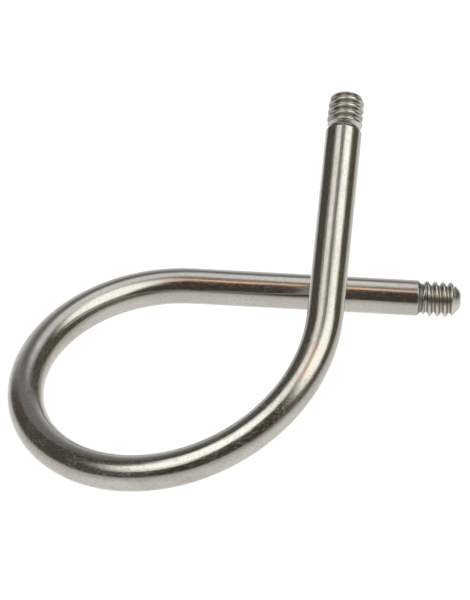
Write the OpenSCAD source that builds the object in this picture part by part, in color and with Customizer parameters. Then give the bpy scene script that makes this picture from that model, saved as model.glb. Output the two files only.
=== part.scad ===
// Looped stem bent from one round steel wire: an open right-hand spiral turn between two
// straight legs, with an external screw thread cut on each free end.
// It lies at rest on z = 0, in mm, +Z up. The lower leg runs along +X and the front is -Y.

/* [Wire] */
// diameter of the wire
wire_d = 1.6; // [1.2:0.1:2.4]

/* [Loop] */
// radius of the wire's centre line about the loop's axis
loop_r = 7; // [5:0.1:12]
// angle turned about the loop's axis from one leg to the other
loop_turn = 264; // [180:1:300]
// rise of the spiral in one full turn
loop_rise = 9; // [6:0.1:16]

/* [Legs] */
// plain length of the leg that lies on the surface
leg_low = 10; // [3:0.1:20]
// plain length of the leg that stands up
leg_high = 9; // [3:0.1:20]
// cone at the end of each plain length
shoulder = 0.14; // [0.05:0.01:0.3]

/* [Threads] */
// length from the shoulder to the tip of the lower leg
thread_low = 1.94; // [1.5:0.02:4]
// length from the shoulder to the tip of the upper leg
thread_high = 1.84; // [1.5:0.02:4]
// distance from crest to crest
thread_pitch = 0.35; // [0.25:0.05:0.45]
// length of the neck between the shoulder and the first crest
neck_len = 0.07; // [0.02:0.01:0.2]
// how far the first crest lies inside the wire's surface
crest_gap = 0.01; // [0.005:0.005:0.05]
// how much the crests narrow from the neck to the tip
crest_taper = 0.01; // [0.002:0.002:0.03]
// length of the cone at the lower leg's tip, 45 degrees
tip_cone = 0.4; // [0.1:0.05:0.45]
// bevel between that cone and the end face
face_edge = 0.06; // [0.02:0.01:0.1]
// radius of the rounding at the upper leg's tip
tip_round = 0.38; // [0.1:0.02:0.45]
// turn of the groove about the lower leg
groove_turn_low = 96; // [0:1:359]
// turn of the groove about the upper leg
groove_turn_high = 219; // [0:1:359]

/* [Rest] */
// lean of the loop's axis from upright when the stem lies by itself
rest_lean = 18.9; // [0:0.1:60]
// direction of that lean about the loop's axis
rest_dir = 209.9; // [0:0.1:360]

/* [Finish] */
// grey of the polished steel
steel_grey = 0.72; // [0.3:0.01:0.9]

/* [Hidden] */
$fn = 64;
wire_r = wire_d / 2;
// a 60 degree thread
crest_r = wire_r - crest_gap;
thread_depth = 0.52 * thread_pitch;
groove_root = crest_r - thread_depth;
neck_r = groove_root + thread_depth / 5;
neck_at = shoulder + neck_len;
crest_from = neck_at + crest_r - neck_r;
last_r = crest_r - crest_taper;
// outline of the two tips, as [distance from the end face, radius], from the face outwards
cone_tip = [
    [0, last_r - tip_cone - face_edge],
    [face_edge, last_r - tip_cone + face_edge],
    [tip_cone, last_r]
];
round_steps = 6;
round_tip = [
    for (i = [0 : round_steps])
        let (a = 90 * i / round_steps)
            [tip_round * (1 - cos(a)), last_r - tip_round * (1 - sin(a))]
];
// distance from the end face at which a tip's outline meets the crests
function tip_from(tip) = tip[len(tip) - 1][0];
function crest_line(z, at) = crest_r - crest_taper * (z - crest_from) / (at - crest_from);
function outline_r(z, thread, tip) = thread - z > tip_from(tip)
    ? crest_line(z, thread - tip_from(tip))
    : lookup(thread - z, tip);
// the bend is drawn this much under the wire's radius, so that its facets stay inside the legs
inset = 0.001;
bend_r = wire_r - inset;
// the bend runs this far into each leg
lap = 0.25;
bend_sides = 24;
bend_steps = ceil(loop_turn / 4);
rise_rate = loop_rise / (2 * PI);
tangent_len = sqrt(loop_r * loop_r + rise_rate * rise_rate);

// a point of the centre line, its direction, and the two directions across it
function spine(a) = [loop_r * cos(a), loop_r * sin(a), rise_rate * a * PI / 180];
function along(a) = [-loop_r * sin(a), loop_r * cos(a), rise_rate] / tangent_len;
function inward(a) = [-cos(a), -sin(a), 0];
function across(a) = cross(inward(a), along(a));

// one ring of the bend: centre, then the angle whose directions it uses
function ring(p, a) = [
    for (j = [0 : bend_sides - 1])
        p + bend_r * (cos(360 * j / bend_sides) * inward(a)
            + sin(360 * j / bend_sides) * across(a))
];

// sides of a closed sweep with m points a ring and n rings
function sweep_faces(m, n) = concat(
    [[for (j = [m - 1 : -1 : 0]) j]],
    [
        for (i = [0 : n - 2], j = [0 : m - 1], h = [0, 1])
            h == 0
                ? [i * m + j, i * m + (j + 1) % m, (i + 1) * m + (j + 1) % m]
                : [i * m + j, (i + 1) * m + (j + 1) % m, (i + 1) * m + j]
    ],
    [[for (j = [0 : m - 1]) (n - 1) * m + j]]
);

first_a = -loop_turn / 2;
last_a = loop_turn / 2;
low_dir = -along(first_a);
high_dir = along(last_a);

// the resting pose: the loop's frame turned so that the stem lies by itself
function turn_z(v, a) = [v.x * cos(a) - v.y * sin(a), v.x * sin(a) + v.y * cos(a), v.z];
function turn_y(v, a) = [v.x * cos(a) + v.z * sin(a), v.y, v.z * cos(a) - v.x * sin(a)];
function lean(v) = turn_y(turn_z(v, -rest_dir), -rest_lean);
yaw = -atan2(lean(low_dir).y, lean(low_dir).x);
function laid(v) = turn_z(lean(v), yaw);

// the groove of the thread: a four-sided cutter swept along a right-hand screw line
groove_steps = 24;
groove_out = crest_r + 0.02;
root_half = thread_pitch / 12;
// the cutter stops short of its own next turn, and ends beyond the tip
groove_past = thread_pitch;
groove_end = max(thread_low, thread_high) + groove_past;
groove_rings = ceil((groove_end - neck_at) / thread_pitch * groove_steps) + 1;
// the groove comes in over half a turn
function groove_in(i) = max(0, 1 - 2 * i / groove_steps);
function groove_r(i) = groove_root + (crest_r + 0.01 - groove_root) * groove_in(i);
function groove_half(r) = root_half + (r - groove_root) * tan(30);
crest_half = thread_pitch / 2 - groove_half(crest_r);
function groove_point(i, r, side) = [
    r * cos(360 * i / groove_steps),
    r * sin(360 * i / groove_steps),
    neck_at + thread_pitch * i / groove_steps + side * groove_half(r)
];
function groove_ring(i) = [
    groove_point(i, groove_r(i), -1),
    groove_point(i, groove_out, -1),
    groove_point(i, groove_out, 1),
    groove_point(i, groove_r(i), 1)
];

// the low and the high leg: root, direction, plain length, turn of the groove, length of the
// thread, outline of the tip
low_leg = [spine(first_a), low_dir, leg_low, groove_turn_low, thread_low, cone_tip];
high_leg = [spine(last_a), high_dir, leg_high, groove_turn_high, thread_high, round_tip];
function leg_point(leg, z, r, a) = leg[0]
    + turn_z(turn_y([r * cos(a), r * sin(a), leg[2] + z], acos(leg[1].z)),
        atan2(leg[1].y, leg[1].x));

// discs and points that bound the stem at rest: centre, direction, radius
function bend_disc(a) = [laid(spine(a)), laid(along(a)), bend_r];
function leg_disc(leg, z, r) = [laid(leg[0] + (leg[2] + z) * leg[1]), laid(leg[1]), r];
function crest_points(leg) = [
    for (a = [0 : 5 : 360 * leg[4] / thread_pitch], side = [-1, 1])
        let (z = neck_at + thread_pitch * (a / 360 - 0.5) + side * crest_half)
            if (z > crest_from && z < leg[4])
                [
                    laid(leg_point(leg, z, outline_r(z, leg[4], leg[5]), a + leg[3])),
                    [0, 0, 0],
                    0
                ]
];
function leg_bounds(leg) = concat(
    [leg_disc(leg, 0, wire_r)],
    [for (p = leg[5]) if (p[1] < groove_root) leg_disc(leg, leg[4] - p[0], p[1])],
    crest_points(leg)
);
bounds = concat(
    [for (i = [0 : bend_steps * 8]) bend_disc(first_a + loop_turn * i / (bend_steps * 8))],
    leg_bounds(low_leg),
    leg_bounds(high_leg)
);
function reach(k, s) = [for (b = bounds) s * b[0][k] + b[2] * sqrt(1 - b[1][k] * b[1][k])];
top = [for (k = [0 : 2]) max(reach(k, 1))];
low = [for (k = [0 : 2]) -max(reach(k, -1))];

// the loop, with a short straight run into each leg
module bend() {
    rings = concat(
        [ring(low_leg[0] + lap * low_dir, first_a)],
        [
            for (i = [0 : bend_steps])
                ring(spine(first_a + loop_turn * i / bend_steps),
                    first_a + loop_turn * i / bend_steps)
        ],
        [ring(high_leg[0] + lap * high_dir, last_a)]
    );
    points = [for (r = rings, p = r) p];
    polyhedron(points, sweep_faces(bend_sides, bend_steps + 3), convexity = 6);
}

// a screw-line cutter for the groove
module groove() {
    points = [for (i = [0 : groove_rings - 1], p = groove_ring(i)) p];
    polyhedron(points, sweep_faces(4, groove_rings), convexity = 10);
}

// one leg along +Z from its root in the bend, turned to its full outline and then threaded
module turned_leg(leg) {
    plain = leg[2];
    end = plain + leg[4];
    tip = leg[5];
    difference() {
        rotate_extrude()
            polygon(concat(
                [
                    [0, 0],
                    [wire_r, 0],
                    [wire_r, plain],
                    [neck_r, plain + shoulder],
                    [neck_r, plain + neck_at],
                    [crest_r, plain + crest_from]
                ],
                [for (i = [len(tip) - 1 : -1 : 0]) [tip[i][1], end - tip[i][0]]],
                [[0, end]]
            ));
        translate([0, 0, plain])
            rotate([0, 0, leg[3]])
                groove();
    }
}

// stands a leg on its root, pointing its own way
module placed(leg) {
    translate(leg[0])
        rotate([0, acos(leg[1].z), atan2(leg[1].y, leg[1].x)])
            turned_leg(leg);
}

// the whole stem, one solid
module stem() {
    color([steel_grey, steel_grey, steel_grey])
        translate([-(low.x + top.x) / 2, -(low.y + top.y) / 2, -low.z])
            rotate([0, 0, yaw])
                rotate([0, -rest_lean, 0])
                    rotate([0, 0, -rest_dir])
                        union() {
                            bend();
                            placed(low_leg);
                            placed(high_leg);
                        }
}

stem();
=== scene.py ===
"""Looks of a looped, threaded barbell stem in polished surgical steel.

The stem is turned and threaded as a straight bar, then bent along its centre line, as the real
one is made. Lengths are in metres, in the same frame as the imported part.
"""

import logging
import math
from dataclasses import dataclass, field
from enum import Enum, IntEnum

import bmesh
import bpy
from mathutils import Matrix, Quaternion, Vector


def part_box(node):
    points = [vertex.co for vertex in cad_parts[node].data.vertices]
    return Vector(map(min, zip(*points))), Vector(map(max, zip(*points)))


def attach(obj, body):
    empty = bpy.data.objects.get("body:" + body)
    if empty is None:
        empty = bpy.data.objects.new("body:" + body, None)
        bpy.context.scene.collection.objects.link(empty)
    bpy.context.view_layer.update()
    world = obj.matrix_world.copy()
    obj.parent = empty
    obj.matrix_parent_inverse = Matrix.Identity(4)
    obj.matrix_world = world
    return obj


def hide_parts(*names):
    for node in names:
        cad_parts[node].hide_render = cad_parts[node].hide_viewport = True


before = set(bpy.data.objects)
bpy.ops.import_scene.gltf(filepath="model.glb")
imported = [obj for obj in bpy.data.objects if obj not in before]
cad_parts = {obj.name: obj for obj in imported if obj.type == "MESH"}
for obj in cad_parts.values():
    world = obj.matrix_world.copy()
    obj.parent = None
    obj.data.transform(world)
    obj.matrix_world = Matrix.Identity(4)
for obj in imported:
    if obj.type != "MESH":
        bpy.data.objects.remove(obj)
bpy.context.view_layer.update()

MM = 0.001
TAU = 2 * math.pi
UP = Vector((0, 0, 1))
LOG = logging.getLogger("stem")

# attributes of a point: its place on the straight bar in mm, and how deep it lies in the groove
DRAWN = "drawn"
CUT = "cut"

# points this close are merged, first on a turned thread and then on the whole bar
THREAD_MERGE = 0.0002 * MM
BAR_MERGE = 0.0005 * MM
# an edge this close to a level lies on it
LEVEL_MARGIN = 0.001 * MM
# the value that a noise lies evenly around
NOISE_MIDDLE = 0.5

Colour = tuple[float, float, float, float]


class WireEnd(Enum):
    """The two ends of the stem, with the way each one points along the straight bar."""

    LOW = -1
    HIGH = 1


class Finish(IntEnum):
    """The stem's two finishes, by the number of their material slot."""

    POLISHED = 0
    CUT = 1


class Socket:
    """One output socket, so that shader maths reads as an expression."""

    def __init__(self, graph: "Graph", socket: bpy.types.NodeSocket) -> None:
        """Keep the output socket that the value comes from, and its graph."""
        self.graph = graph
        self.socket = socket

    def _math(self, operation: str, *values: "Socket | float") -> "Socket":
        """Add a Math node.

        Args:
            operation: The node's operation.
            values: The inputs, in order.

        Returns:
            The result.
        """
        settings = {"operation": operation}
        return self.graph.node("ShaderNodeMath", settings, dict(enumerate(values)))["Value"]

    def __add__(self, other: "Socket | float") -> "Socket":
        """Return self + other."""
        return self._math("ADD", self, other)

    def __radd__(self, other: float) -> "Socket":
        """Return other + self."""
        return self._math("ADD", other, self)

    def __sub__(self, other: "Socket | float") -> "Socket":
        """Return self - other."""
        return self._math("SUBTRACT", self, other)

    def __rsub__(self, other: float) -> "Socket":
        """Return other - self."""
        return self._math("SUBTRACT", other, self)

    def __mul__(self, other: "Socket | float") -> "Socket":
        """Return self * other."""
        return self._math("MULTIPLY", self, other)

    def __rmul__(self, other: float) -> "Socket":
        """Return other * self."""
        return self._math("MULTIPLY", other, self)

    def __abs__(self) -> "Socket":
        """Return the absolute value."""
        return self._math("ABSOLUTE", self)

    def arccos(self) -> "Socket":
        """Return the arc cosine."""
        return self._math("ARCCOSINE", self)

    def arcsin(self) -> "Socket":
        """Return the arc sine."""
        return self._math("ARCSINE", self)

    def arctan2(self, other: "Socket") -> "Socket":
        """Return the angle whose tangent is self over other."""
        return self._math("ARCTAN2", self, other)

    def ramp(self, start: float, end: float) -> "Socket":
        """Ease from 0 to 1.

        Args:
            start: Input at which the result leaves 0.
            end: Input at which it reaches 1. It may be the smaller one.

        Returns:
            The eased value.
        """
        settings = {"interpolation_type": "SMOOTHSTEP", "clamp": True}
        values = {"Value": self, "From Min": start, "From Max": end}
        return self.graph.node("ShaderNodeMapRange", settings, values)["Result"]


class Made:
    """The outputs of a node that a graph has just added."""

    def __init__(self, graph: "Graph", made: bpy.types.Node) -> None:
        """Keep the graph and the node."""
        self.graph = graph
        self.made = made

    def __getitem__(self, name: str) -> Socket:
        """Return the enabled output of that name."""
        found = next(s for s in self.made.outputs if s.name == name and s.enabled)
        return Socket(self.graph, found)


Value = Socket | float | tuple


class Graph:
    """A node tree that is being built."""

    def __init__(self, tree: bpy.types.NodeTree) -> None:
        """Empty the tree and keep it."""
        self.tree = tree
        tree.nodes.clear()

    def node(self, kind: str, settings: dict | None = None, sockets: dict | None = None) -> Made:
        """Add one node.

        Args:
            kind: The node's type.
            settings: Its properties, set before the sockets are read.
            sockets: Values or links for its inputs, by name or number.

        Returns:
            The node's outputs.
        """
        made = self.tree.nodes.new(kind)
        for name, value in (settings or {}).items():
            setattr(made, name, value)
        for name, value in (sockets or {}).items():
            if isinstance(name, int):
                into = made.inputs[name]
            else:
                into = next(s for s in made.inputs if s.name == name and s.enabled)
            if isinstance(value, Socket):
                self.tree.links.new(value.socket, into)
            else:
                into.default_value = value
        return Made(self, made)

    def mix(self, first: Value, second: Value, share: Socket) -> Socket:
        """Mix two colours.

        Args:
            first: Colour at share 0.
            second: Colour at share 1.
            share: How much of the second colour.

        Returns:
            The mixed colour.
        """
        settings = {"data_type": "RGBA", "clamp_result": False}
        values = {"Factor": share, "A": first, "B": second}
        return self.node("ShaderNodeMix", settings, values)["Result"]

    def dot(self, vector: Socket, other: Vector) -> Socket:
        """Return the dot product of a vector with a fixed one."""
        values = {0: vector, 1: tuple(other)}
        return self.node("ShaderNodeVectorMath", {"operation": "DOT_PRODUCT"}, values)["Value"]

    def scaled(self, vector: Socket, along: float, across: float) -> Socket:
        """Return a place on the bar scaled by one factor along it and another across it."""
        values = {0: vector, 1: (along, across, across)}
        return self.node("ShaderNodeVectorMath", {"operation": "MULTIPLY"}, values)["Vector"]

    def attribute(self, name: str) -> Made:
        """Return the outputs of one of the mesh's attributes."""
        return self.node("ShaderNodeAttribute", {"attribute_name": name})

    def bump(self, distance: float, height: Socket) -> Socket:
        """Return the normal of a relief, from its depth in metres and its height pattern."""
        values = {"Strength": 1.0, "Distance": distance, "Height": height}
        return self.node("ShaderNodeBump", {}, values)["Normal"]

    def metal(self, colour: Value, roughness: Value, normal: Socket) -> Socket:
        """Return the shader of bare metal."""
        values = {"Base Color": colour, "Metallic": 1.0, "Roughness": roughness, "Normal": normal}
        return self.node("ShaderNodeBsdfPrincipled", {}, values)["BSDF"]

    def cover(self, shader: Socket) -> None:
        """Give the material's surface its shader."""
        self.node("ShaderNodeOutputMaterial", {}, {"Surface": shader})


def new_material(name: str) -> tuple[bpy.types.Material, Graph]:
    """Start a material.

    Args:
        name: The material's name.

    Returns:
        The material and its empty graph.
    """
    material = bpy.data.materials.new(name)
    material.use_nodes = True
    return material, Graph(material.node_tree)


def rgba(red: float, green: float, blue: float) -> Colour:
    """Return an opaque colour."""
    return (red, green, blue, 1.0)


@dataclass(frozen=True)
class Noise:
    """A noise on the straight bar, drawn out along it or across it.

    Its scales are in cells for each millimetre. Eased, it leaves 0 at the span's first value and
    reaches 1 at the second.
    """

    along: float
    across: float
    detail: float
    span: tuple[float, float] = (0.0, 1.0)

    def plain(self, graph: Graph, place: Socket) -> Socket:
        """Give the noise as it is.

        Args:
            graph: The material's graph.
            place: The place on the straight bar.

        Returns:
            The noise, even around its middle.
        """
        where = graph.scaled(place, self.along, self.across)
        values = {"Vector": where, "Scale": 1.0, "Detail": self.detail}
        return graph.node("ShaderNodeTexNoise", {}, values)["Fac"]

    def eased(self, graph: Graph, place: Socket) -> Socket:
        """Return the noise, eased over its span."""
        return self.plain(graph, place).ramp(*self.span)


@dataclass(frozen=True)
class Specks:
    """Small round specks on the straight bar, with one speck at most in a cell.

    The scales are in cells for each millimetre, the size is a speck's radius as a share of a
    cell, and `clean` is the share of the cells that have no speck.
    """

    along: float
    across: float
    size: float
    clean: float
    edge: float = 0.01

    def spread(self, graph: Graph, place: Socket) -> Socket:
        """Scatter the specks.

        Args:
            graph: The material's graph.
            place: The place on the straight bar.

        Returns:
            1 on a speck and 0 off it.
        """
        where = graph.scaled(place, self.along, self.across)
        cells = graph.node("ShaderNodeTexVoronoi", {}, {"Vector": where, "Scale": 1.0})
        chance = graph.dot(cells["Color"], Vector((1, 0, 0)))
        chosen = chance.ramp(self.clean, self.clean + self.edge)
        return cells["Distance"].ramp(self.size, self.size / 2) * chosen


@dataclass(frozen=True)
class Share:
    """A share that grows with a mask: what it is without the mask, and what the mask adds."""

    base: float
    added: float

    def under(self, mask: Socket) -> Socket:
        """Return the share under a mask."""
        return mask * self.added + self.base


@dataclass(frozen=True)
class PolishedSteel:
    """Bright drawn wire: wavy polish, lines along the wire, bending marks, scratches and specks."""

    name: str = "polished_steel"
    pale: Colour = rgba(0.455, 0.44, 0.40)
    deep: Colour = rgba(0.40, 0.385, 0.345)
    dark: Colour = rgba(0.32, 0.295, 0.26)
    tarnish: Colour = rgba(0.40, 0.365, 0.32)

    # patterns of the metal
    mottle: Noise = Noise(0.35, 0.35, 3.0, (0.3, 0.7))
    patches: Noise = Noise(1.3, 1.3, 4.0, (0.36, 0.62))
    grain: Noise = Noise(5.0, 9.0, 4.0, (0.42, 0.7))
    lines: Noise = Noise(0.2, 9.0, 3.0)
    ripple: Noise = Noise(0.7, 1.8, 2.0)
    haze: Noise = Noise(7.0, 11.0, 3.0, (0.42, 0.72))

    # marks, and how strong each kind is
    scratches: Noise = Noise(0.8, 16.0, 1.0, (0.68, 0.8))
    scratch_strength: float = 0.7
    scuffs: Noise = Noise(16.0, 1.4, 1.0, (0.7, 0.8))
    scuff_strength: float = 0.7
    nicks: Specks = Specks(2.6, 2.6, 0.1, 0.72)
    nick_strength: float = 0.8
    dust: Specks = Specks(7.2, 11.7, 0.24, 0.7)
    dust_strength: float = 0.5

    # stretch that the bending has worn, in mm from the low tip, and how worn the rest is
    bend_from: float = 18.0
    bend_to: float = 45.0
    bend_ease: float = 6.0
    wear: Share = Share(0.25, 0.75)

    # how much of the dark colour lies in the grain
    grain_dark: Share = Share(0.1, 0.25)

    # roughness, and what each pattern adds to it
    roughness: float = 0.11
    lines_rough: float = 0.08
    haze_rough: float = 0.06
    wear_rough: float = 0.03
    marks_rough: float = 0.14

    # depth of the ripple, and how high each pattern stands beside it
    wave: float = 0.006 * MM
    lines_high: float = 1.1
    grain_high: Share = Share(0.05, 0.45)
    marks_deep: float = 0.14

    # roughness of the dull metal, and how much of it lies in the haze and the marks
    dullness: float = 0.6
    haze_dull: Share = Share(0.1, 0.3)
    marks_dull: float = 0.08

    def worn(self, graph: Graph, place: Socket) -> Socket:
        """Give how worn the wire is.

        Args:
            graph: The material's graph.
            place: The place on the straight bar.

        Returns:
            The wear, in patches that are strongest on the bend.
        """
        along = graph.dot(place, Vector((1, 0, 0)))
        bent = along.ramp(self.bend_from, self.bend_from + self.bend_ease)
        bent = bent * along.ramp(self.bend_to, self.bend_to - self.bend_ease)
        return self.patches.eased(graph, place) * self.wear.under(bent)

    def marks(self, graph: Graph, place: Socket, worn: Socket) -> Socket:
        """Give the marks of handling.

        Args:
            graph: The material's graph.
            place: The place on the straight bar.
            worn: How worn the wire is.

        Returns:
            The scratches, scuffs, nicks and dust together.
        """
        marks = self.scratches.eased(graph, place) * self.scratch_strength
        marks = marks + self.scuffs.eased(graph, place) * worn * self.scuff_strength
        marks = marks + self.nicks.spread(graph, place) * self.nick_strength
        return marks + self.dust.spread(graph, place) * worn * self.dust_strength

    def build(self) -> bpy.types.Material:
        """Make the material.

        Returns:
            The material.
        """
        material, graph = new_material(self.name)
        place = graph.attribute(DRAWN)["Vector"]
        grain = self.grain.plain(graph, place)
        lines = self.lines.plain(graph, place)
        haze = self.haze.eased(graph, place)
        worn = self.worn(graph, place)
        marks = self.marks(graph, place, worn)

        colour = graph.mix(self.deep, self.pale, self.mottle.eased(graph, place))
        darker = grain.ramp(*self.grain.span) * self.grain_dark.under(worn)
        colour = graph.mix(colour, self.dark, darker)

        rough = self.roughness + (lines - NOISE_MIDDLE) * self.lines_rough
        rough = rough + haze * self.haze_rough + worn * self.wear_rough
        rough = rough + marks * self.marks_rough

        height = self.ripple.plain(graph, place) + lines * self.lines_high
        height = height + grain * self.grain_high.under(worn) - marks * self.marks_deep
        bump = graph.bump(self.wave, height)

        polished = graph.metal(colour, rough, bump)
        dulled = graph.metal(self.tarnish, self.dullness, bump)
        share = haze * self.haze_dull.under(worn) + marks * self.marks_dull
        shaders = {0: share, 1: polished, 2: dulled}
        graph.cover(graph.node("ShaderNodeMixShader", {}, shaders)["Shader"])
        return material


@dataclass(frozen=True)
class CutThread:
    """Steel as the die leaves it: bright flats on the crests, duller and grainy between them.

    Each span says at which depths in the groove one look eases into the next: 0 is a crest, 1 is
    the groove's bottom, and the neck lies under 0. The groove's bottom is painted lighter than the
    crests, as painted light, and the neck and shoulder darker, as painted shade.
    """

    name: str = "cut_thread"
    crest: Colour = rgba(0.47, 0.455, 0.42)
    flank: Colour = rgba(0.33, 0.305, 0.265)
    flank_span: tuple[float, float] = (0.04, 0.22)
    # painted light: the groove's bottom is lighter than the crests, as if lit
    root: Colour = rgba(0.52, 0.485, 0.42)
    root_painted_light_span: tuple[float, float] = (0.65, 0.95)
    # painted shade: the neck and the shoulder cone are darker, as if shaded
    neck_painted_shade: Colour = rgba(0.22, 0.205, 0.19)
    neck_span: tuple[float, float] = (-0.02, -0.2)

    # patterns of the cut metal, and how far its grain blurs the depth
    grain: Noise = Noise(9.0, 9.0, 4.0)
    chatter: Noise = Noise(3.0, 9.0, 2.0)
    patches: Noise = Noise(2.2, 2.2, 3.0)
    grain_blur: float = 0.35

    # roughness of the crests and of the groove, and what the neck and the patches add
    bright: float = 0.22
    dull: float = 0.33
    dull_span: tuple[float, float] = (0.05, 0.7)
    neck_rough: float = 0.25
    patches_rough: float = 0.16

    # depth of the grain, and how high the chatter stands beside it
    relief: float = 0.008 * MM
    chatter_high: float = 0.6

    def build(self) -> bpy.types.Material:
        """Make the material.

        Returns:
            The material.
        """
        material, graph = new_material(self.name)
        place = graph.attribute(DRAWN)["Vector"]
        depth = graph.attribute(CUT)["Fac"]
        grain = self.grain.plain(graph, place)
        blurred = depth + (grain - NOISE_MIDDLE) * self.grain_blur
        # mask of the neck, for its painted shade and its added roughness
        neck_shade_and_rough = depth.ramp(*self.neck_span)

        colour = graph.mix(self.crest, self.flank, blurred.ramp(*self.flank_span))
        # painted light: the groove's bottom turns lighter
        colour = graph.mix(colour, self.root, blurred.ramp(*self.root_painted_light_span))
        # painted shade on the neck and the shoulder
        colour = graph.mix(colour, self.neck_painted_shade, neck_shade_and_rough)

        rough = self.bright + blurred.ramp(*self.dull_span) * (self.dull - self.bright)
        rough = rough + neck_shade_and_rough * self.neck_rough
        patches = self.patches.plain(graph, place)
        rough = rough + (patches - NOISE_MIDDLE) * self.patches_rough

        height = grain + self.chatter.plain(graph, place) * self.chatter_high
        graph.cover(graph.metal(colour, rough, graph.bump(self.relief, height)))
        return material


@dataclass(frozen=True)
class PaleFloor:
    """Glossy white board, lit from behind so that shadows on it stay faint."""

    name: str = "pale_floor"
    colour: Colour = rgba(0.24, 0.24, 0.24)
    glow: Colour = rgba(0.98, 0.98, 0.98)
    roughness: float = 0.9
    coat_roughness: float = 0.06

    def build(self) -> bpy.types.Material:
        """Make the material.

        Returns:
            The material.
        """
        material, graph = new_material(self.name)
        values = {
            "Base Color": self.colour,
            "Roughness": self.roughness,
            "Specular IOR Level": 0.0,
            "Coat Weight": 1.0,
            "Coat Roughness": self.coat_roughness,
            "Emission Color": self.glow,
            "Emission Strength": 1.0,
        }
        graph.cover(graph.node("ShaderNodeBsdfPrincipled", {}, values)["BSDF"])
        return material


@dataclass(frozen=True)
class CentreLine:
    """Centre line of the wire: straight leg, right-hand spiral turn, straight leg.

    It is written in the loop's own frame, with the loop's axis along Z, and measured from the
    low leg's tip. The frame across it turns with the spiral, as the wire does when it is bent.
    """

    low_shoulder: float
    loop_r: float = 7.0 * MM
    loop_turn: float = math.radians(264)
    loop_rise: float = 9.0 * MM
    leg_low: float = 10.0 * MM
    leg_high: float = 9.0 * MM

    @property
    def rise_rate(self) -> float:
        """Rise for each radian."""
        return self.loop_rise / TAU

    @property
    def length_rate(self) -> float:
        """Length of wire for each radian."""
        return math.hypot(self.loop_r, self.rise_rate)

    @property
    def low_root(self) -> float:
        """Where the low leg meets the spiral."""
        return self.low_shoulder + self.leg_low

    @property
    def high_root(self) -> float:
        """Where the spiral meets the high leg."""
        return self.low_root + self.length_rate * self.loop_turn

    @property
    def high_shoulder(self) -> float:
        """Where the high leg's plain wire ends."""
        return self.high_root + self.leg_high

    def angle(self, along: float) -> float:
        """Return the spiral's angle at a place on the wire, held at its ends on the legs."""
        turned = (along - self.low_root) / self.length_rate
        return min(max(turned, 0.0), self.loop_turn) - self.loop_turn / 2

    def axes(self, along: float) -> tuple[Vector, Vector, Vector]:
        """Give the directions at a place on the wire.

        Args:
            along: Distance from the low tip.

        Returns:
            The wire's direction, the direction to the loop's axis, and the third one.
        """
        turned = self.angle(along)
        forward = Vector((
            -self.loop_r * math.sin(turned), self.loop_r * math.cos(turned), self.rise_rate
        )).normalized()
        inward = Vector((-math.cos(turned), -math.sin(turned), 0.0))
        return forward, inward, forward.cross(inward)

    def point(self, along: float) -> Vector:
        """Give the centre line's point.

        Args:
            along: Distance from the low tip.

        Returns:
            The point, on the spiral or on one of the legs.
        """
        turned = self.angle(along)
        on_spiral = Vector((
            self.loop_r * math.cos(turned), self.loop_r * math.sin(turned), self.rise_rate * turned
        ))
        past = min(along - self.low_root, 0.0) + max(along - self.high_root, 0.0)
        return on_spiral + past * self.axes(along)[0]

    def bent(self, straight: Vector) -> Vector:
        """Return where a point of the straight bar goes when the bar is bent."""
        inward, third = self.axes(straight.x)[1:]
        return self.point(straight.x) + straight.y * inward + straight.z * third


@dataclass(frozen=True)
class ConedTip:
    """A 45 degree cone, with a bevel on its end face that is twice as steep."""

    length: float = 0.4 * MM
    edge: float = 0.06 * MM
    edge_slope: float = 2.0
    smooth: float = 0.2 * MM

    def radius(self, crest_r: float, back: float) -> float:
        """Return the radius at a distance back from the end face."""
        return crest_r - self.length + min(back, self.edge_slope * back - self.edge)


@dataclass(frozen=True)
class RoundedTip:
    """A tip rounded to one radius round a flat end face."""

    length: float = 0.38 * MM
    smooth: float = 0.05 * MM

    def radius(self, crest_r: float, back: float) -> float:
        """Return the radius at a distance back from the end face."""
        level = self.length - min(back, self.length)
        return crest_r - self.length + math.sqrt(self.length ** 2 - level ** 2)


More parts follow.
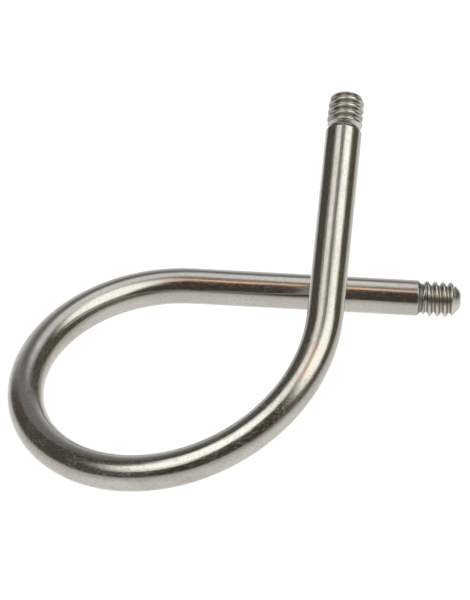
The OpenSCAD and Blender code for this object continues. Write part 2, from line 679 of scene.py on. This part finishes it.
@dataclass
class ThreadedEnd:
    """One end of the stem: a shoulder, a neck, a right-hand screw thread and a tip.

    It is built in the end's own frame, with the shoulder at z = 0 and the tip towards +z.
    """

    length: float
    tip: ConedTip | RoundedTip
    wire_r: float = 0.8 * MM
    shoulder: float = 0.14 * MM
    neck_len: float = 0.07 * MM
    pitch: float = 0.35 * MM
    flank_angle: float = math.radians(30)
    crest_gap: float = 0.01 * MM
    crest_taper: float = 0.01 * MM

    # depth of the groove and half width of its bottom, as shares of the pitch
    depth_share: float = 0.52
    bottom_share: float = 1 / 12
    # how far the neck stands out of the groove, as a share of the groove's depth
    neck_share: float = 0.2
    # turns in which the groove comes in from the neck
    run_in: float = 0.5

    # rounding of the crests, of the groove's bottom and of the shoulder
    crest_soft: float = 0.02 * MM
    root_soft: float = 0.06 * MM
    edge_round: float = 0.02 * MM
    # rings of that last rounding, as shares of it along the wire and into it
    edge_rings: tuple[tuple[float, float], ...] = ((0.7, 0.7), (0.2, 0.2), (-0.4, 0.0))

    sides: int = 96
    rows: int = 22
    cap_steps: int = 6

    @property
    def crest_r(self) -> float:
        """Radius over the first crest."""
        return self.wire_r - self.crest_gap

    @property
    def last_r(self) -> float:
        """Radius over the last crest."""
        return self.crest_r - self.crest_taper

    @property
    def depth(self) -> float:
        """Depth of the groove."""
        return self.depth_share * self.pitch

    @property
    def root_r(self) -> float:
        """Radius at the bottom of the groove."""
        return self.crest_r - self.depth

    @property
    def neck_r(self) -> float:
        """Radius of the neck."""
        return self.root_r + self.neck_share * self.depth

    @property
    def neck_at(self) -> float:
        """Height at which the neck ends and the groove starts."""
        return self.shoulder + self.neck_len

    @property
    def smooth_at(self) -> float:
        """Height past which the tip is narrower than the groove."""
        return self.length - self.tip.smooth

    @property
    def edge_height(self) -> float:
        """Height at which the shoulder's rounding meets the plain wire, under 0."""
        return self.edge_round * self.edge_rings[-1][0]

    def blank_r(self, height: float) -> float:
        """Give the radius before the groove is cut, from the neck to the tip.

        Args:
            height: Height above the shoulder.

        Returns:
            The radius there.
        """
        back = self.length - height
        if back < self.tip.length:
            return self.tip.radius(self.last_r, back)
        crest_from = self.neck_at + self.crest_r - self.neck_r
        share = (height - crest_from) / (self.length - self.tip.length - crest_from)
        rising = self.neck_r + height - self.neck_at
        return min(rising, self.crest_r - self.crest_taper * share)

    def soft_min(self, first: float, second: float, soft: float) -> float:
        """Return the smaller value, with the corner between the two rounded."""
        blend = max(soft - abs(first - second), 0.0)
        return min(first, second) - blend * blend / (4 * soft)

    def thread_r(self, height: float, turned: float) -> float:
        """Give the radius of the thread.

        Args:
            height: Height above the shoulder.
            turned: Turns past the groove's start, from 0 to 1.

        Returns:
            The radius there.
        """
        number = max(0, round((height - self.neck_at) / self.pitch - turned))
        off = abs(height - self.neck_at - self.pitch * (turned + number))
        coming_in = max(0.0, 1 - (turned + number) / self.run_in)
        floor = self.root_r + (self.depth + self.root_soft) * coming_in
        flank = self.root_r + (off - self.bottom_share * self.pitch) / math.tan(self.flank_angle)
        groove = -self.soft_min(-floor, -flank, self.root_soft)
        return self.soft_min(self.blank_r(height), groove, self.crest_soft)

    def cut(self, height: float, radius: float) -> float:
        """Give how deep a point lies in the groove.

        Args:
            height: Height above the shoulder.
            radius: The point's radius.

        Returns:
            0 on a crest, rising to 1 at the groove's bottom, and less than 0 on the neck.
        """
        if not 0.0 < height < self.smooth_at:
            return 0.0
        if height <= self.neck_at:
            return (radius - self.wire_r) / self.depth
        return max(self.blank_r(height) - radius, 0.0) / self.depth

    def screw(self, groove_turn: float) -> bmesh.types.BMesh:
        """Turn the thread from one upright line of points.

        Args:
            groove_turn: Angle at which the groove starts.

        Returns:
            The thread from the neck to where the tip runs clear of it, open at both ends.
        """
        made = bmesh.new()
        # the screw lifts the line by a pitch, so it starts a pitch low and ends high, and what
        # lies past either end is moved back to it and merged
        last = round((self.smooth_at / self.pitch + 1) * self.rows)
        line = [
            made.verts.new((self.wire_r, 0.0, self.neck_at + self.pitch * i / self.rows))
            for i in range(-self.rows, last)
        ]
        for lower, upper in zip(line, line[1:]):
            made.edges.new((lower, upper))
        bmesh.ops.spin(
            made, geom=made.verts[:] + made.edges[:], cent=(0, 0, 0), axis=UP,
            dvec=(0, 0, self.pitch / self.sides), angle=TAU, steps=self.sides,
        )
        for vert in made.verts:
            angle = math.atan2(vert.co.y, vert.co.x)
            height = min(max(vert.co.z, self.neck_at), self.smooth_at)
            radius = self.thread_r(height, (angle - groove_turn) / TAU % 1.0)
            if vert.co.z >= self.smooth_at:
                radius = self.blank_r(height)
            vert.co = (radius * math.cos(angle), radius * math.sin(angle), height)
        bmesh.ops.remove_doubles(made, verts=made.verts[:], dist=THREAD_MERGE)
        return made

    def open_edges(self, made: bmesh.types.BMesh, height: float) -> list[bmesh.types.BMEdge]:
        """Return the open edges that lie at a height."""
        return [
            edge for edge in made.edges
            if edge.is_boundary and all(abs(v.co.z - height) < LEVEL_MARGIN for v in edge.verts)
        ]

    def step(
        self,
        made: bmesh.types.BMesh,
        ring: list[bmesh.types.BMEdge],
        scale: float,
        height: float,
    ) -> list[bmesh.types.BMEdge]:
        """Extrude a ring of edges to a new height and radius.

        Args:
            made: The mesh.
            ring: The open edges to extrude.
            scale: New radius over the old one.
            height: New height above the shoulder.

        Returns:
            The edges of the new ring.
        """
        new = bmesh.ops.extrude_edge_only(made, edges=ring)["geom"]
        for vert in (x for x in new if isinstance(x, bmesh.types.BMVert)):
            vert.co = (vert.co.x * scale, vert.co.y * scale, height)
        return [x for x in new if isinstance(x, bmesh.types.BMEdge)]

    def add_shoulder(self, made: bmesh.types.BMesh) -> None:
        """Add the neck, the shoulder and its rounded edge, down to the plain wire.

        Args:
            made: The end's mesh, with its thread.
        """
        ring = self.open_edges(made, self.neck_at)
        radius = self.neck_r
        soft = self.edge_round
        rings = [(self.shoulder, self.neck_r)]
        rings += [(soft * up, self.wire_r - soft * inset) for up, inset in self.edge_rings]
        for height, wanted in rings:
            ring = self.step(made, ring, wanted / radius, height)
            radius = wanted

    def add_tip(self, made: bmesh.types.BMesh) -> None:
        """Add the rest of the tip and its end face, with rings that close up towards it.

        Args:
            made: The end's mesh, with its thread.
        """
        ring = self.open_edges(made, self.smooth_at)
        radius = self.blank_r(self.smooth_at)
        for number in range(1, self.cap_steps + 1):
            back = self.tip.smooth * (1 - number / self.cap_steps) ** 2
            wanted = self.tip.radius(self.last_r, back)
            ring = self.step(made, ring, wanted / radius, self.length - back)
            radius = wanted
        ring = self.step(made, ring, 1 - self.edge_round / radius, self.length)
        bmesh.ops.edgeloop_fill(made, edges=ring)

    def build(self, groove_turn: float) -> bmesh.types.BMesh:
        """Build the whole end.

        Args:
            groove_turn: Angle at which the groove starts.

        Returns:
            The end, closed at the tip and open at the shoulder.
        """
        made = self.screw(groove_turn)
        self.add_shoulder(made)
        self.add_tip(made)
        return made


Finishes = tuple[PolishedSteel | CutThread | PaleFloor, ...]


def new_object(made: bmesh.types.BMesh, name: str, finishes: Finishes) -> bpy.types.Object:
    """Make an object of a finished mesh.

    Args:
        made: The mesh, which is used up.
        name: Name of the object.
        finishes: Its finishes, in the order of their slots.

    Returns:
        The object, in the scene and dressed.
    """
    mesh = bpy.data.meshes.new(name)
    made.to_mesh(mesh)
    made.free()
    new = bpy.data.objects.new(name, mesh)
    bpy.context.scene.collection.objects.link(new)
    for finish in finishes:
        mesh.materials.append(finish.build())
    return new


@dataclass
class BentStem:
    """The stem: one bar of round steel wire, threaded at both ends and bent into a loop."""

    low_end: ThreadedEnd = field(default_factory=lambda: ThreadedEnd(1.94 * MM, ConedTip()))
    high_end: ThreadedEnd = field(default_factory=lambda: ThreadedEnd(1.84 * MM, RoundedTip()))
    groove_turn_low: float = math.radians(96)
    groove_turn_high: float = math.radians(219)
    rest_lean: float = math.radians(18.9)
    rest_dir: float = math.radians(209.9)

    # rings: their distance on the legs, the short stretch by each shoulder, and their numbers
    leg_step: float = 0.5 * MM
    leg_hold: float = 0.05 * MM
    hold_steps: int = 2
    bend_steps: int = 176

    line: CentreLine = field(init=False)

    def __post_init__(self) -> None:
        """Lay out the centre line from the low end's tip."""
        self.line = CentreLine(low_shoulder=self.low_end.length)

    def outward(self, side: WireEnd) -> tuple[float, float]:
        """Give the place of an end on the straight bar.

        Args:
            side: Which end.

        Returns:
            Where its shoulder is, and the sign of its direction.
        """
        at = self.line.low_shoulder if side is WireEnd.LOW else self.line.high_shoulder
        return at, float(side.value)

    def end_turn(self, side: WireEnd) -> float:
        """Give the angle of an end's groove, from the loop's own inward direction.

        The part's source measures it from the direction that stands square to the leg and
        leans away from the loop's axis, in the plane of the two.

        Args:
            side: Which end.

        Returns:
            The angle at which the groove starts.
        """
        at, sign = self.outward(side)
        forward, inward, _ = self.line.axes(at)
        out = forward * sign
        flat = math.hypot(out.x, out.y)
        level = Vector((out.x * out.z / flat, out.y * out.z / flat, -flat))
        offset = math.atan2(level.dot(out.cross(inward)), level.dot(inward))
        return offset + (self.groove_turn_low if side is WireEnd.LOW else self.groove_turn_high)

    def stations(self) -> list[float]:
        """Give the places of the rings between the shoulders.

        A ring close to each shoulder keeps the rounded edge's shading off the plain wire.

        Returns:
            Distances from the low tip, rising.
        """
        line, hold = self.line, self.leg_hold
        start = line.low_shoulder - self.low_end.edge_height
        end = line.high_shoulder + self.high_end.edge_height
        spans = (
            (start, line.low_shoulder + hold, self.hold_steps),
            (line.low_shoulder + hold, line.low_root, round(line.leg_low / self.leg_step)),
            (line.low_root, line.high_root, self.bend_steps),
            (line.high_root, line.high_shoulder - hold, round(line.leg_high / self.leg_step)),
            (line.high_shoulder - hold, end, self.hold_steps),
        )
        return [a + (b - a) * i / n for a, b, n in spans for i in range(1, n + 1)]

    def threaded_ends(self) -> bmesh.types.BMesh:
        """Build both ends in their places on the straight bar.

        Returns:
            The two ends in one mesh, each open at its shoulder.
        """
        bar = bmesh.new()
        for side in WireEnd:
            at, sign = self.outward(side)
            end = self.low_end if side is WireEnd.LOW else self.high_end
            made = end.build(self.end_turn(side))
            place = Matrix(((0, 0, sign, at), (1, 0, 0, 0), (0, sign, 0, 0), (0, 0, 0, 1)))
            bmesh.ops.transform(made, matrix=place, verts=made.verts[:])
            mesh = bpy.data.meshes.new("end")
            made.to_mesh(mesh)
            made.free()
            bar.from_mesh(mesh)
            bpy.data.meshes.remove(mesh)
        for face in bar.faces:
            face.material_index = Finish.CUT
        return bar

    def bar(self) -> bmesh.types.BMesh:
        """Build the straight bar along +x, with the low tip at the origin.

        Returns:
            The closed bar.
        """
        bar = self.threaded_ends()
        start = self.line.low_shoulder - self.low_end.edge_height
        ring = [
            edge for edge in bar.edges
            if edge.is_boundary and abs(edge.verts[0].co.x - start) < LEVEL_MARGIN
        ]
        for place in self.stations():
            new = bmesh.ops.extrude_edge_only(bar, edges=ring)["geom"]
            for vert in (x for x in new if isinstance(x, bmesh.types.BMVert)):
                vert.co.x = place
            for face in (x for x in new if isinstance(x, bmesh.types.BMFace)):
                face.material_index = Finish.POLISHED
            ring = [x for x in new if isinstance(x, bmesh.types.BMEdge)]
        bmesh.ops.remove_doubles(bar, verts=bar.verts[:], dist=BAR_MERGE)
        bmesh.ops.recalc_face_normals(bar, faces=bar.faces[:])
        return bar

    def bend(self, bar: bmesh.types.BMesh) -> None:
        """Bend the straight bar, after its points have kept where they were on it.

        Args:
            bar: The straight bar.
        """
        drawn = bar.verts.layers.float_vector.new(DRAWN)
        cut = bar.verts.layers.float.new(CUT)
        for vert in bar.verts:
            radius = math.hypot(vert.co.y, vert.co.z)
            low = self.line.low_shoulder - vert.co.x
            high = vert.co.x - self.line.high_shoulder
            vert[drawn] = vert.co / MM
            vert[cut] = self.low_end.cut(low, radius) + self.high_end.cut(high, radius)
            vert.co = self.line.bent(vert.co)

    def laid(self) -> Matrix:
        """Give the way that the stem lies.

        Returns:
            The turn from the loop's frame to the stem's rest on the floor.
        """
        lean = Matrix.Rotation(-self.rest_lean, 4, "Y") @ Matrix.Rotation(-self.rest_dir, 4, "Z")
        low = lean.to_3x3() @ -self.line.axes(self.line.low_root)[0]
        return Matrix.Rotation(-math.atan2(low.y, low.x), 4, "Z") @ lean

    def lay(self, bar: bmesh.types.BMesh) -> None:
        """Lay the bent bar on the floor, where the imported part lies.

        Args:
            bar: The bent bar, in the loop's frame.
        """
        bmesh.ops.transform(bar, matrix=self.laid(), verts=bar.verts[:])
        low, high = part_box("stem")
        mine = [[f(v.co[k] for v in bar.verts) for k in range(3)] for f in (min, max)]
        shift = Vector((
            (low.x + high.x - mine[0][0] - mine[1][0]) / 2,
            (low.y + high.y - mine[0][1] - mine[1][1]) / 2,
            low.z - mine[0][2],
        ))
        bmesh.ops.translate(bar, vec=shift, verts=bar.verts[:])

    def build(self) -> bpy.types.Object:
        """Build the stem in its place and dress it.

        Returns:
            The finished piece.
        """
        bar = self.bar()
        self.bend(bar)
        self.lay(bar)
        for face in bar.faces:
            face.smooth = True
        piece = new_object(bar, "stem_steel", (PolishedSteel(), CutThread()))
        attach(piece, "root")
        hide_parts("stem")
        return piece


@dataclass
class Floor:
    """Plain pale floor that the stem lies on."""

    half: float = 200 * MM

    def build(self) -> bpy.types.Object:
        """Build the floor.

        Returns:
            The floor.
        """
        made = bmesh.new()
        bmesh.ops.create_grid(made, x_segments=1, y_segments=1, size=self.half)
        floor = new_object(made, "floor", (PaleFloor(),))
        return floor


def heading(azimuth: float, elevation: float) -> Vector:
    """Give a direction from the object.

    Args:
        azimuth: Degrees from +Y, which is away from the camera, turning to +X on the right.
        elevation: Degrees above the floor.

    Returns:
        The unit direction.
    """
    a, e = math.radians(azimuth), math.radians(elevation)
    return Vector((math.sin(a) * math.cos(e), math.cos(a) * math.cos(e), math.sin(e)))


@dataclass(frozen=True)
class Lamp:
    """A soft round patch of light, or of shade, in the studio round the object.

    Its middle is a heading. It reaches so many degrees from there, and its rim is soft for so
    many degrees to either side.
    """

    azimuth: float
    elevation: float
    reach: float
    soft: float
    light: Colour

    def mask(self, graph: Graph, direction: Socket) -> Socket:
        """Give the share of the patch in a direction.

        Args:
            graph: The world's graph.
            direction: The direction looked along.

        Returns:
            1 on the patch, 0 off it, eased between.
        """
        away = graph.dot(direction, heading(self.azimuth, self.elevation)).arccos()
        outer, inner = (math.radians(self.reach + x) for x in (self.soft, -self.soft))
        return away.ramp(outer, inner)


@dataclass(frozen=True)
class Backdrop:
    """The pale sheet behind the object, brightest where it meets the floor.

    Its angles are in degrees. It reaches half its width to either side of its azimuth, and up to
    its top. Its light eases from the low one at the floor to the high one at `high_at`.
    """

    azimuth: float = -6.0
    half_width: float = 31.0
    side_soft: float = 9.0
    top: float = 54.0
    top_soft: float = 8.0
    low_light: Colour = rgba(1.0, 1.0, 1.04)
    high_light: Colour = rgba(0.285, 0.28, 0.285)
    high_at: float = 40.0

    def over(self, graph: Graph, direction: Socket, light: Socket) -> Socket:
        """Lay the sheet over the light behind it.

        Args:
            graph: The world's graph.
            direction: The direction looked along.
            light: The light without the sheet.

        Returns:
            The light with the sheet.
        """
        ahead, right = (graph.dot(direction, heading(self.azimuth + x, 0)) for x in (0, 90))
        turned = abs(right.arctan2(ahead))
        raised = graph.dot(direction, UP).arcsin()
        wide, top = (math.radians(x) for x in (self.half_width, self.top))
        side, above = (math.radians(x) for x in (self.side_soft, self.top_soft))
        share = turned.ramp(wide + side, wide - side) * raised.ramp(top + above, top - above)
        height = raised.ramp(0.0, math.radians(self.high_at))
        return graph.mix(light, graph.mix(self.low_light, self.high_light, height), share)


@dataclass
class Studio:
    """The room round the object: dim walls, a pale backdrop and soft round lamps.

    A later lamp covers the ones before it. The ceiling span is the upward part of a direction at
    which the walls ease into the ceiling.
    """

    room: Colour = rgba(0.13, 0.125, 0.112)
    ceiling: Colour = rgba(0.36, 0.365, 0.35)
    ceiling_span: tuple[float, float] = (0.982, 0.997)
    backdrop: Backdrop = field(default_factory=Backdrop)
    lamps: tuple[Lamp, ...] = (
        # dim walls, low on the left, low on the right, and to the right of the camera
        Lamp(-66, 20, 25, 12, rgba(0.134, 0.112, 0.093)),
        Lamp(75, 15, 24, 12, rgba(0.143, 0.136, 0.094)),
        Lamp(122, 12, 15, 10, rgba(0.23, 0.205, 0.165)),
        # main lamps, high behind the object and high on the right
        Lamp(27.5, 64, 18, 9, rgba(1.3, 1.31, 1.34)),
        Lamp(112, 49.5, 25, 9, rgba(2.25, 2.25, 2.18)),
        # the dark side of the room, where the camera stands
        Lamp(182, 25, 36, 7, rgba(0.092, 0.072, 0.058)),
        # small warm lamp above the camera
        Lamp(157, 72, 4.5, 3.5, rgba(2.2, 1.0, 0.55)),
        # main lamp high on the left, and a small one nearly overhead
        Lamp(-126, 57, 24.5, 10, rgba(2.3, 2.3, 2.24)),
        Lamp(-89, 74, 4.5, 4, rgba(1.8, 1.82, 1.82)),
        # shade round the camera
        Lamp(-172, 36, 14, 7, rgba(0.1, 0.088, 0.075)),
    )

    def build(self) -> None:
        """Build the world's light."""
        world = bpy.data.worlds.new("studio")
        bpy.context.scene.world = world
        world.use_nodes = True
        graph = Graph(world.node_tree)
        direction = graph.node("ShaderNodeTexCoord")["Generated"]
        upward = graph.dot(direction, UP)
        light = graph.mix(self.room, self.ceiling, upward.ramp(*self.ceiling_span))
        light = self.backdrop.over(graph, direction, light)
        for lamp in self.lamps:
            light = graph.mix(light, lamp.light, lamp.mask(graph, direction))
        glow = graph.node("ShaderNodeBackground", {}, {"Color": light, "Strength": 1.0})
        graph.node("ShaderNodeOutputWorld", {}, {"Surface": glow["Background"]})


@dataclass
class ViewCamera:
    """Camera at the photograph's angle to the stem.

    Angles are in degrees, and the lens and the sensor's width are in millimetres, as Blender
    takes them.
    """

    azimuth: float = 1.467
    elevation: float = 32.457
    roll: float = -2.14
    distance: float = 350 * MM
    aim: Vector = field(default_factory=lambda: Vector((0.0965, 1.1973, 4.9434)) * MM)
    lens: float = 477.8
    sensor: float = 36.0
    near: float = 10 * MM
    far: float = 10.0

    def build(self) -> bpy.types.Object:
        """Build the camera and make it the scene's.

        Returns:
            The camera.
        """
        data = bpy.data.cameras.new("view")
        data.sensor_width, data.lens = self.sensor, self.lens
        data.clip_start, data.clip_end = self.near, self.far
        camera = bpy.data.objects.new("view", data)
        bpy.context.scene.collection.objects.link(camera)
        back = heading(180 - self.azimuth, self.elevation)
        level = (-back).to_track_quat("-Z", "Y")
        camera.rotation_mode = "QUATERNION"
        camera.rotation_quaternion = Quaternion(back, math.radians(self.roll)) @ level
        camera.location = self.aim + back * self.distance
        bpy.context.scene.camera = camera
        return camera


def main() -> None:
    """Build the camera, the studio, the floor and the stem."""
    logging.basicConfig(level=logging.INFO, format="%(name)s: %(message)s")
    bpy.context.scene.view_settings.view_transform = "Standard"
    ViewCamera().build()
    Studio().build()
    for part in (Floor(), BentStem()):
        built = part.build()
        LOG.info("%s: %d faces", built.name, len(built.data.polygons))


if __name__ == "__main__":
    main()
